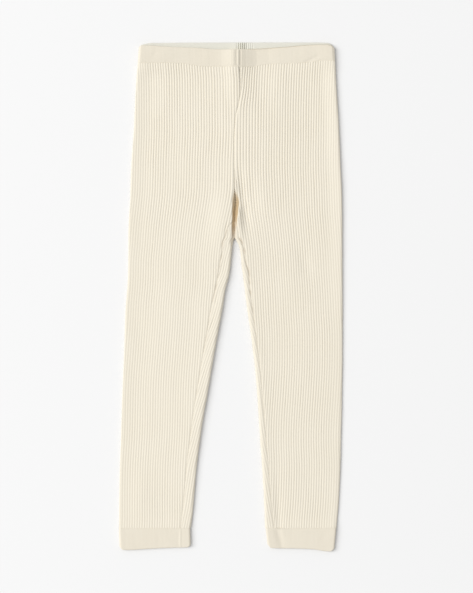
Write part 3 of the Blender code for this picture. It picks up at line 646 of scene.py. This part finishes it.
# Place and outward direction on a row's line, the direction from points a little to either side
def placeOnLines(lines, wanted):
    step = 0.3
    ahead = np.minimum(wanted + step, lines["high"])
    behind = np.maximum(wanted - step, lines["low"])
    reachStep = readLines(lines, "reach", ahead) - readLines(lines, "reach", behind)
    heightStep = readLines(lines, "height", ahead) - readLines(lines, "height", behind)
    length = np.hypot(reachStep, heightStep)
    return (readLines(lines, "reach", wanted), readLines(lines, "height", wanted),
            heightStep / length, -reachStep / length)


# Distance of a rib's line from the tip of the side fold: pitch times n, plus a gain with n²,
# plus the shift of the row
def ribDistance(side, n, y):
    sizes = legSizes
    start, end = sizes["pitchChange"]
    legShare = smoothStep((start - y) / (start - end))
    pitch = sizes["trunkPitch"] + (sizes["legPitch"] - sizes["trunkPitch"]) * legShare
    distance = pitch * n + sizes["pitchGain"] * (1.0 - legShare) * n * np.abs(n) / 2.0
    distance = distance + forSide(sizes["ribShift"], side, y)
    if side > 0:
        first, last = sizes["seamShiftRibs"]
        beside = smoothStep((n - first) / (last - first))
        distance = distance + curveThrough(sizes["seamShift"], y) * beside
    return distance


# A panel is a closed shell. Its outer face has a few columns in each rib, displaced along the
# outward direction by the rib's round profile, |sin(pi n)| to a power; its inner face has one
# column a rib and is plain. A column that runs past a seam ends on the seam's own point.
def makeLeg(name, side):
    sizes = legSizes
    stretches = [np.arange(start, end, -step) for start, end, step in sizes["rowSteps"]]
    y = np.concatenate(stretches + [[sizes["cuffSeam"]]])
    rows = y[:, None]
    lines = panelLines(side, y)
    front = np.arange(sizes["frontRibs"])[:, None] + np.array(sizes["frontFractions"])
    back = np.arange(-sizes["backRibs"], 0)[:, None] + np.array(sizes["backFractions"])
    n = np.concatenate([back.ravel(), front.ravel()])[None, :]

    wanted = ribDistance(side, n, rows)
    weld = sizes["weldShare"] * sizes["trunkPitch"]
    lowColumn = (wanted < lines["low"] + weld).sum(axis=1, keepdims=True) - 1
    highColumn = (wanted < lines["high"] - weld).sum(axis=1, keepdims=True)
    columns = np.arange(n.shape[1])[None, :]
    wanted = np.where(columns <= lowColumn, lines["low"], wanted)
    wanted = np.where(columns >= highColumn, lines["high"], wanted)

    reach, height, outX, outZ = placeOnLines(lines, wanted)
    fromSeam = np.minimum(wanted - lines["low"], lines["high"] - wanted)
    offGround = smoothStep(height / sizes["groundFade"])
    onLeg = smoothStep((sizes["pitchChange"][0] - rows) / sizes["legRibLength"])
    ribRise = sizes["ribRise"] * (1.0 + (sizes["legRibShare"] - 1.0) * onLeg)
    ribRise = ribRise * (1.0 + creaseRise(sizes["ribSwells"], side * reach, rows) * offGround)
    strayed = n + sizes["ribWander"] * unevenness(n, rows, sizes["wanderWave"], side)
    profile = np.abs(np.sin(math.pi * strayed)) ** sizes["ribRoundness"]
    tall = 1.0 + sizes["ribUneven"] * unevenness(np.floor(n), rows, sizes["unevenWave"], side)
    fade = smoothStep(fromSeam / sizes["seamFade"])
    first, over = sizes["sideFadeRibs"]
    fade = fade * (1.0 - sizes["sideFade"] * near(np.abs(n) - first, over))
    rise = ribRise * fade * (np.clip(profile * tall, 0.0, sizes["ribLimit"]) - (1.0 - offGround))
    dip = forSide(sizes["seamDip"], side, rows)
    rise = rise - dip * offGround * near(fromSeam, sizes["seamDipWidth"])
    backLift = near(fromSeam, sizes["backSeamLiftWidth"]) * (1.0 - offGround)
    outerHeight = np.maximum(height + rise * outZ, 0.0) + sizes["backSeamLift"] * backLift

    x = side * (reach + rise * outX * fade)
    frontShare = smoothStep((wanted + lines["foldLength"]) / (2.0 * lines["foldLength"]))
    seam = frontOrBack(waistSeam, x, frontShare) - sizes["waistGap"] / 2.0
    placeY = rows + curveThrough(sizes["seamCurveShare"], rows) * (seam - sizes["topRow"])
    outer = np.stack([x, placeY, outerHeight], axis=2)
    uv = np.stack([np.broadcast_to(n, wanted.shape), np.broadcast_to(rows, wanted.shape)], axis=2)
    # painted shade in the valley: the colour deepens with the depth below the cloth's top
    tint = forSide(sizes["valleyPaintedShade"], side, rows)
    paintedShadeShare = tint * smoothStep(readLines(lines, "sunk", wanted) / sizes["tintDepth"]) * offGround
    # painted shade in the inseams' grooves, in uneven dashes along them
    mean, swing, limit = sizes["dashes"]
    dashes = np.clip(mean + swing * unevenness(rows, rows, sizes["dashWave"], side), 0.0, limit)
    inseam = smoothStep((sizes["crotch"] - rows) / sizes["inseamStart"])
    inseamPaintedShade = forSide(sizes["inseamPaintedShade"], side, rows)
    paintedShadeShare = np.maximum(paintedShadeShare, inseamPaintedShade * dashes * inseam
                       * bell(fromSeam, sizes["inseamTintWidth"]))

    # the inner face, one wall further in, on every rib's valley column; the wall is pressed thin
    # beside the seam in the valley
    nearSeam = near(fromSeam, sizes["thinWidth"])
    wall = sizes["wall"] * (1.0 - sizes["thinShare"] * lines["inValley"] * nearSeam)
    kept = np.unique(np.append(np.flatnonzero(np.isclose(n[0], np.round(n[0]))), n.shape[1] - 1))
    innerX = side * (reach - wall * outX)[:, kept]
    innerHeight = np.maximum(height - wall * outZ, sizes["offGround"])[:, kept]
    inner = np.stack([innerX, placeY[:, kept], innerHeight], axis=2)
    innerLow = np.searchsorted(kept, lowColumn, side="right") - 1
    innerHigh = np.minimum(np.searchsorted(kept, highColumn, side="left"), len(kept) - 1)
    rowNumbers = np.arange(len(y))[:, None]
    grid = rowNumbers * n.shape[1] + np.clip(columns, lowColumn, highColumn)
    innerColumns = np.clip(np.arange(len(kept))[None, :], innerLow, innerHigh)
    innerGrid = outer.shape[0] * outer.shape[1] + rowNumbers * len(kept) + innerColumns

    turned = side < 0
    parts = [gridCells(grid, uv, turned), gridCells(innerGrid, uv[:, kept], not turned)]
    # the panel's two long edges
    for column in (0, -1):
        edge = np.stack([grid[:, column], innerGrid[:, column]], axis=1)
        edgeUv = np.stack([uv[:, column], uv[:, column]], axis=1)
        parts.append(gridCells(edge, edgeUv, turned == (column == -1)))
    # its two short ends, as fans from every inner point to the columns beside it
    group = np.searchsorted(kept, np.arange(n.shape[1] - 1), side="right") - 1
    for row in (0, -1):
        fan = np.stack([grid[row, :-1], grid[row, 1:], innerGrid[row, group],
                        innerGrid[row, group]], axis=1)
        joins = np.stack([innerGrid[row, :-1], grid[row, kept[1:]], grid[row, kept[1:]],
                          innerGrid[row, 1:]], axis=1)
        ends = np.concatenate([fan, joins])
        endUv = np.zeros((len(ends), 4, 2))
        endUv[:, :, 1] = y[row]
        parts.append((ends[:, ::-1] if (row == 0) != turned else ends, endUv))
    points = np.concatenate([outer.reshape(-1, 3), inner.reshape(-1, 3)])
    paintedShade = np.concatenate([paintedShadeShare.ravel(), paintedShadeShare[:, kept].ravel()])
    leg = makePiece(name, points, parts, ribKnit, np.clip(paintedShade, 0.0, 1.0))
    outward = np.stack([side * outX, np.zeros_like(outX), outZ], axis=2)
    edges = {"y": y, "front": outer[:, -1], "frontOut": outward[:, -1],
             "back": outer[:, 0], "backOut": outward[:, 0]}
    return leg, edges


legLeft, leftEdges = makeLeg("legLeft", -1)
legRight, rightEdges = makeLeg("legRight", 1)
for leg, node in ((legLeft, "leg_left"), (legRight, "leg_right")):
    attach(leg, "root")
    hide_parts(node)
print("legs made")


ringSizes = {
    "frontFrom": 0.6, "backFrom": 0.4, "blend": 0.3,    # shares of the way from back to front
    "rimRows": 11,
    "seamFullness": 0.86,       # the wall is this much of its thickness where it is sewn on
    "bulgePower": 0.7,          # below 1 the front's bulge is fuller towards its edges
    "closingShare": 0.55,       # of the wall: V's last step, across the sewn edge
}


# How far a place is on the front's outer face: 0 to 1
def onFront(frontShare, outside):
    return smoothStep((frontShare - ringSizes["frontFrom"]) / ringSizes["blend"]) * (outside > 0.0)


# The same for the back's inner face
def onBackInside(frontShare, outside):
    return smoothStep((ringSizes["backFrom"] - frontShare) / ringSizes["blend"]) * (outside < 0.0)


# A closed ring of fine knit, folded double and laid flat. Round the ring the wall's middle line
# is level on the back, a half circle at each end and level on the front. Across it the wall is a
# flat oval: its outer face, the round free rim, its inner face. The relief is a function of the
# place, added along the outward direction.
def makeRing(name, sizes, seamHeight, freeHeight, relief):
    wall = sizes["wall"]
    back = wall / 2.0
    front = wall + sizes["hollow"] + wall / 2.0 + sizes["foldLift"]
    radius = (front - back) / 2.0
    inset = radius + wall / 2.0
    lowEnd, highEnd = sizes["seamEnds"]
    width = highEnd - lowEnd
    start, end, count = sizes["fineStretch"]
    fineX = np.linspace(start, end, count)

    def levelStations(wanted):
        even = np.linspace(lowEnd + inset, highEnd - inset, wanted)
        return np.sort(np.concatenate([even[(even < start) | (even > end)], fineX]))

    frontX = levelStations(sizes["frontStations"])
    backX = levelStations(sizes["backStations"])[::-1]
    turn = np.linspace(0.0, math.pi, sizes["foldStations"] + 2)[1:-1]
    liftShare = 1.0 - np.minimum(frontX - lowEnd, highEnd - frontX) / (width * sizes["foldLiftShare"])
    frontZ = front - sizes["foldLift"] * (1.0 - smoothStep(liftShare))
    x = np.concatenate([frontX, highEnd - inset + radius * np.sin(turn), backX,
                        lowEnd + inset - radius * np.sin(turn)])
    z = np.concatenate([frontZ, back + radius + radius * np.cos(turn), np.full(len(backX), back),
                        back + radius - radius * np.cos(turn)])
    outX = np.concatenate([0.0 * frontX, np.sin(turn), 0.0 * backX, -np.sin(turn)])
    outZ = np.concatenate([1.0 + 0.0 * frontX, np.cos(turn), -1.0 + 0.0 * backX, -np.cos(turn)])
    frontShare = (1.0 + outZ) / 2.0
    around = np.concatenate([[0.0], np.cumsum(np.hypot(np.diff(x), np.diff(z)))])
    total = around[-1] + math.hypot(x[0] - x[-1], z[0] - z[-1])

    # across the wall: share of the way to the free rim, distance added, share of half the wall
    face = np.linspace(0.0, 1.0, sizes["faceRows"])
    rim = np.linspace(quarterTurn, -quarterTurn, ringSizes["rimRows"])[1:-1]
    rimDepth = sizes["rimDepth"]
    share = np.concatenate([face, np.ones(len(rim)), face[::-1]])
    added = np.concatenate([-rimDepth * face, rimDepth * (np.cos(rim) - 1.0), -rimDepth * face[::-1]])
    full = ringSizes["seamFullness"]
    seamRound = full + (1.0 - full) * smoothStep(face * sizes["height"] / sizes["seamTaper"])
    across = np.concatenate([seamRound, np.sin(rim), -seamRound[::-1]])
    fullFace = np.sin(math.pi * face) ** ringSizes["bulgePower"]
    fullness = np.concatenate([fullFace, 0.0 * rim, 0.0 * face])

    lowFree, highFree = sizes["freeEnds"]
    freeX = lowFree + (x - lowEnd) / width * (highFree - lowFree)
    seamY = seamHeight(x, frontShare)
    freeY = freeHeight(freeX, frontShare)
    length = np.abs(freeY - seamY)[:, None]
    way = (share[None, :] * length + added[None, :]) / length
    placeX = x[:, None] + way * (freeX - x)[:, None]
    placeY = seamY[:, None] + way * (freeY - seamY)[:, None]
    frontOnly = np.maximum(outZ, 0.0)[:, None]
    outside = np.sign(across)[None, :] * np.ones_like(placeX)
    offset = across[None, :] * wall / 2.0 + fullness[None, :] * sizes["bulge"] * frontOnly
    offset = offset + relief(placeX, placeY, frontShare[:, None], outside, way)
    points = np.stack([placeX + offset * outX[:, None], placeY,
                       np.maximum(z[:, None] + offset * outZ[:, None], 0.0)], axis=2)

    stations, profile = placeX.shape
    numbers = (np.arange(stations + 1) % stations)[:, None] * profile
    numbers = numbers + (np.arange(profile + 1) % profile)[None, :]
    down = np.concatenate([[0.0], np.cumsum(np.hypot(np.diff(share * sizes["height"] + added),
                                                    np.diff(across * wall / 2.0)))])
    down = np.append(down, down[-1] + wall * ringSizes["closingShare"])
    uvU = np.append(around, total)[:, None] / sizes["waleMm"]
    uvGrid = np.stack(np.broadcast_arrays(uvU, down[None, :]), axis=2)
    # the back's inner face is painted greyer, as shade
    ring = makePiece(name, points.reshape(-1, 3), [gridCells(numbers, uvGrid, sizes["turned"])],
                     fineKnit, onBackInside(frontShare[:, None], outside).ravel())
    outward = np.stack([outX, np.zeros_like(outX), outZ], axis=1)
    edge = {"seam": np.concatenate([points[:, 0], points[:1, 0]]),
            "seamOut": np.concatenate([outward, outward[:1]])}
    return ring, edge


bandSizes = {
    "wall": 2.6, "foldLift": 0.8, "bulge": 0.35, "hollow": 0.6, "seamGap": 0.02,
    "height": 19.0, "rimDepth": 1.4, "seamTaper": 4.0, "foldLiftShare": 0.13,
    "seamEnds": (-101.4, 115.2), "freeEnds": (-100.2, 114.4),
    "frontStations": 260, "backStations": 130, "foldStations": 15, "faceRows": 24,
    "fineStretch": (-1, 27, 86),    # more stations from x to x, for the joins
    "waleMm": 1.05, "turned": True,
    # x, y of its free rim
    "top": {
        "front": (
            (-100.2, 273.4), (-95.9, 275.9), (-70.6, 274.6), (-33.2, 273), (-6.8, 271.5),
            (10.8, 271.7), (54.8, 273.7), (104.3, 276.7), (110.6, 275.6), (114.4, 272)),
        "back": (
            (-100.2, 273.4), (-95.9, 277.5), (-80, 279), (0, 279.4), (90, 279.5),
            (106, 279.1), (110.6, 277.7), (114.4, 272)),
    },
    # the join at the centre front: x, half width and rise of a ridge
    "frontJoin": ((1.5, 0.6, 0.25), (3.7, 0.7, 0.4), (6.9, 0.7, -0.5), (8.9, 0.8, 0.3),
                  (11.3, 0.8, -0.6)),
    # the back's, seen inside: x, half width and depth of a groove between two rows of stitches
    "backJoin": ((7.3, 0.55, 0.6), (9.5, 0.6, 1.5), (11.7, 0.6, 1.6), (13.9, 0.6, 1.6),
                 (16.1, 0.6, 1.5), (18.3, 0.8, 1), (20.8, 0.6, 0.4), (23, 0.6, 0.4),
                 (25.2, 0.6, 0.3), (10.4, 8, -1)),
    # x, y, half length, half width, heading, rise
    "creases": (
        (4.4, 262, 26, 9.6, 90, 3.1),
        (33, 262, 26, 14, 90, -2.5),
        (56, 262, 26, 26, 90, -1.5),
        (-74, 262, 26, 16, 90, 0.5),
        (102, 262, 26, 40, 90, -1.3),
        (89, 260.5, 9, 1.8, 27, -0.45),
        (93, 258.2, 8, 1.6, 25, 0.35),
        (-52, 263, 20, 3, 12, -0.12),
        (-84, 265, 9, 3, 70, -0.18),
        (58, 266, 16, 3, 4, -0.12),
    ),
    # height of the cloth's unevenness and of its wales', and the wave of each
    "waves": ((0.06, (26, 40, 71)), (0.05, (4.4, 90, 72))),
    "joinEnds": (0.15, 0.1),        # the ridges fade over these shares of the height
}


# The creases and the join's ridges on the front's outer face, and the back's join inside, where
# outwards is away from the eye
def bandRelief(x, y, frontShare, outside, way):
    front = onFront(frontShare, outside)
    rise = creaseRise(bandSizes["creases"], x, y) * front
    for height, wave in bandSizes["waves"]:
        rise += height * unevenness(x, y, wave) * front
    seamEnd, freeEnd = bandSizes["joinEnds"]
    onFace = smoothStep(way / seamEnd) * smoothStep((1.0 - way) / freeEnd)
    for join, face in (("frontJoin", front * onFace), ("backJoin", onBackInside(frontShare, outside))):
        for centre, halfWidth, height in bandSizes[join]:
            rise += height * bell(x - centre, halfWidth) * face
    return rise


# The waist seam's curve and half a gap
def bandSeam(x, frontShare):
    return frontOrBack(waistSeam, x, frontShare) + bandSizes["seamGap"] / 2.0


# The free rim's curve
def bandTop(x, frontShare):
    return frontOrBack(bandSizes["top"], x, frontShare)


waistband, bandEdge = makeRing("waistbandKnit", bandSizes, bandSeam, bandTop, bandRelief)

cuffSizes = {
    "wall": 1.8, "foldLift": 0.2, "bulge": 0.15, "hollow": 0.5, "seamGap": 0.02,
    "height": 22.0, "rimDepth": 1.1, "seamTaper": 3.0, "foldLiftShare": 0.13,
    "frontStations": 120, "backStations": 70, "foldStations": 13, "faceRows": 26,
    "waleMm": 1.05, "turned": False,
    "creaseStart": 0.1, "waves": ((0.03, (4.4, 90, 82)), (0.05, (22, 30, 83))),
    # the free rim's rows are x, y; the creases' are as on the legs
    "left": {
        "seamEnds": (-122.3, -43.9), "freeEnds": (-121.4, -43.4),
        "fineStretch": (-60, -52, 17),
        "freeRim": ((-121.4, -274.4), (-117, -278), (-90, -276.8), (-60, -275.5),
                    (-47.5, -275.2), (-43.4, -272.2)),
        "creases": ((-54.6, -266, 14, 1, 90, 0.3), (-57.5, -266, 14, 1.4, 90, -0.12),
                    (-96, -262, 12, 5, 80, 0.1), (-78, -268, 9, 3, 105, -0.1)),
    },
    "right": {
        "seamEnds": (38.9, 116.6), "freeEnds": (41.2, 114.4),
        "fineStretch": (46, 58, 21),
        "freeRim": ((41.2, -271.5), (45.8, -276), (70, -276.4), (92, -277.4),
                    (109.5, -279.7), (114.4, -276.4)),
        "creases": ((53.6, -262, 20, 3.8, 104, -0.9), (61, -262, 20, 10, 96, -0.3),
                    (84, -264, 12, 5, 96, 0.1), (101, -268, 9, 3, 75, -0.1)),
    },
}


# A cuff hangs from a level seam and has its own free rim and creases
def makeCuff(name, place):
    own = cuffSizes[place]

    def seamHeight(x, frontShare):
        return np.full_like(x, legSizes["cuffSeam"] - cuffSizes["seamGap"])

    def freeHeight(x, frontShare):
        return curveThrough(own["freeRim"], x)

    def relief(x, y, frontShare, outside, way):
        front = onFront(frontShare, outside)
        start = smoothStep(way / cuffSizes["creaseStart"])
        rise = creaseRise(own["creases"], x, y) * front * start
        for height, wave in cuffSizes["waves"]:
            rise += height * unevenness(x, y, wave) * front
        return rise

    return makeRing(name, {**cuffSizes, **own}, seamHeight, freeHeight, relief)


cuffLeft, cuffLeftEdge = makeCuff("cuffLeftKnit", "left")
cuffRight, cuffRightEdge = makeCuff("cuffRightKnit", "right")
for ring, node in ((waistband, "waistband"), (cuffLeft, "cuff_left"), (cuffRight, "cuff_right")):
    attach(ring, "root")
    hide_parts(node)
print("waistband and cuffs made")


sewingSizes = {
    "spacing": 2.4, "length": 1.3, "height": 0.1, "thickness": 0.24,
    "slant": 0.3,               # each stitch runs this far along the seam
    "steps": 7, "sides": 5,
    "offGround": 0.03,          # on the underside they are pressed flat above the surface
    "headingReach": 0.6,        # the seam's heading is taken this far to either side
    "endBend": 0.05,            # keeps a stitch's bend from vanishing at its ends
}


# Stitches across a seam. Each is a bent tube: for t from 0 to 1 its middle is the seam's place
# + across · length/2 · cos(pi t) + outward · height · sin(pi t), and its ends close in a point.
def makeStitches(name, path, outward, slot):
    sizes = sewingSizes
    strides = np.linalg.norm(np.diff(path, axis=0), axis=1)
    along = np.concatenate([[0.0], np.cumsum(strides)])
    count = int(along[-1] / sizes["spacing"])
    wanted = (np.arange(count) + 0.5) * along[-1] / count

    def read(values, distance):
        return np.stack([np.interp(distance, along, values[:, axis]) for axis in range(3)], axis=1)

    def unit(vectors):
        return vectors / np.linalg.norm(vectors, axis=-1, keepdims=True)

    place = read(path, wanted)
    reach = sizes["headingReach"]
    forward = unit(read(path, wanted + reach) - read(path, wanted - reach))
    across = unit(np.cross(forward, read(outward, wanted)))
    out = np.cross(across, forward)
    t = np.linspace(0.0, 1.0, sizes["steps"])[None, :, None]
    half = sizes["length"] / 2.0
    swing = np.cos(math.pi * t)
    lift = np.sin(math.pi * t)
    place, forward, across, out = (values[:, None, :] for values in (place, forward, across, out))
    middle = (place + across * half * swing + forward * sizes["slant"] / 2.0 * swing
              + out * sizes["height"] * (2.0 * lift - 1.0))
    bend = unit(across * sizes["height"] * swing + out * half * (lift + sizes["endBend"]))
    turn = np.linspace(0.0, 2.0 * math.pi, sizes["sides"], endpoint=False)[None, None, :, None]
    thick = sizes["thickness"] / 2.0 * np.sqrt(np.clip(lift, 0.0, 1.0))[:, :, None, :]
    points = middle[:, :, None, :] + thick * (np.cos(turn) * forward[:, :, None, :]
                                              + np.sin(turn) * bend[:, :, None, :])
    points[..., 2] = np.maximum(points[..., 2], sizes["offGround"])
    steps = sizes["steps"]
    sides = sizes["sides"]
    one = np.arange(steps)[:, None] * sides + (np.arange(sides + 1) % sides)[None, :]
    one[0] = 0
    one[-1] = (steps - 1) * sides
    uv = np.stack(np.broadcast_arrays(np.linspace(0.0, 1.0, sides + 1)[None, :],
                                      np.linspace(0.0, sizes["length"], steps)[:, None]), axis=2)
    cells, places = gridCells(one, uv, True)
    cells = (cells[None, :, :] + (np.arange(count) * steps * sides)[:, None, None]).reshape(-1, 4)
    places = np.tile(places, (count, 1, 1))
    sewing = makePiece(name, points.reshape(-1, 3), [(cells, places)], thread)
    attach(sewing, "root")
    return sewing


# The line halfway between two edges, in the rows that are wanted
def seamBetween(edges, edge, otherEdges, otherEdge, rows):
    path = (edges[edge][rows] + otherEdges[otherEdge][rows]) / 2.0
    outward = edges[edge + "Out"][rows] + otherEdges[otherEdge + "Out"][rows]
    return path, outward


trunkRows = leftEdges["y"] >= legSizes["crotch"]
sewingFront = makeStitches("sewingCentreFront", *seamBetween(
    leftEdges, "front", rightEdges, "front", trunkRows), "rib_knit")
sewingBack = makeStitches("sewingCentreBack", *seamBetween(
    leftEdges, "back", rightEdges, "back", trunkRows), "rib_knit")
sewingLeft = makeStitches("sewingInseamLeft", *seamBetween(
    leftEdges, "front", leftEdges, "back", ~trunkRows), "rib_knit")
sewingRight = makeStitches("sewingInseamRight", *seamBetween(
    rightEdges, "front", rightEdges, "back", ~trunkRows), "rib_knit")
sewingWaist = makeStitches("sewingWaist", bandEdge["seam"], bandEdge["seamOut"], "fine_knit")
sewingCuffLeft = makeStitches(
    "sewingCuffLeft", cuffLeftEdge["seam"], cuffLeftEdge["seamOut"], "fine_knit")
sewingCuffRight = makeStitches(
    "sewingCuffRight", cuffRightEdge["seam"], cuffRightEdge["seamOut"], "fine_knit")
print("sewing made")


studio = {
    "floorHex": "e7e7e7", "floorReach": 2.0, "floorBelow": 0.0001, "skyStrength": 0.6,
    # a tall softbox on the left, turned to the middle of the garment; metres and watts
    "boxPlace": (-7.4, 1.15, 7.95), "boxSize": (6.2, 9.6), "boxWatts": 1072.0,
    "cameraHeight": 1.9, "sensorMm": 36.0, "frameWidthMm": 520.3, "centreMm": (7.0, 0.3),
}
corners = ((-1.0, -1.0), (1.0, -1.0), (1.0, 1.0), (-1.0, 1.0))
floorMesh = bpy.data.meshes.new("floor")
floorMesh.from_pydata([(studio["floorReach"] * x, studio["floorReach"] * y, -studio["floorBelow"])
                       for x, y in corners], [], [(0, 1, 2, 3)])
floor = addObject("floor", floorMesh)
paper = startMaterial("matt white paper", {         # even and without gloss
    "Base Color": linearColour(studio["floorHex"]), "Roughness": 0.95,
    "Specular IOR Level": 0.1})[0]
floorMesh.materials.append(paper)

world = bpy.data.worlds.new("studio")
bpy.context.scene.world = world
world.use_nodes = True
world.node_tree.nodes["Background"].inputs["Color"].default_value = (1.0, 1.0, 1.0, 1.0)
world.node_tree.nodes["Background"].inputs["Strength"].default_value = studio["skyStrength"]

boxData = bpy.data.lights.new("softbox", "AREA")
boxData.shape = "RECTANGLE"
boxData.size, boxData.size_y = studio["boxSize"]
boxData.energy = studio["boxWatts"]
box = addObject("softbox", boxData)
box.location = studio["boxPlace"]
box.rotation_euler = Vector(studio["boxPlace"]).to_track_quat("Z", "Y").to_euler()

cameraData = bpy.data.cameras.new("above")
cameraData.sensor_fit = "HORIZONTAL"
cameraData.sensor_width = studio["sensorMm"]
cameraData.lens = studio["sensorMm"] * studio["cameraHeight"] / (studio["frameWidthMm"] * perMm)
camera = addObject("above", cameraData)
centreX, centreY = studio["centreMm"]
camera.location = (centreX * perMm, centreY * perMm, studio["cameraHeight"])
bpy.context.scene.camera = camera
bpy.context.scene.view_settings.view_transform = "Standard"
print("light and camera set")
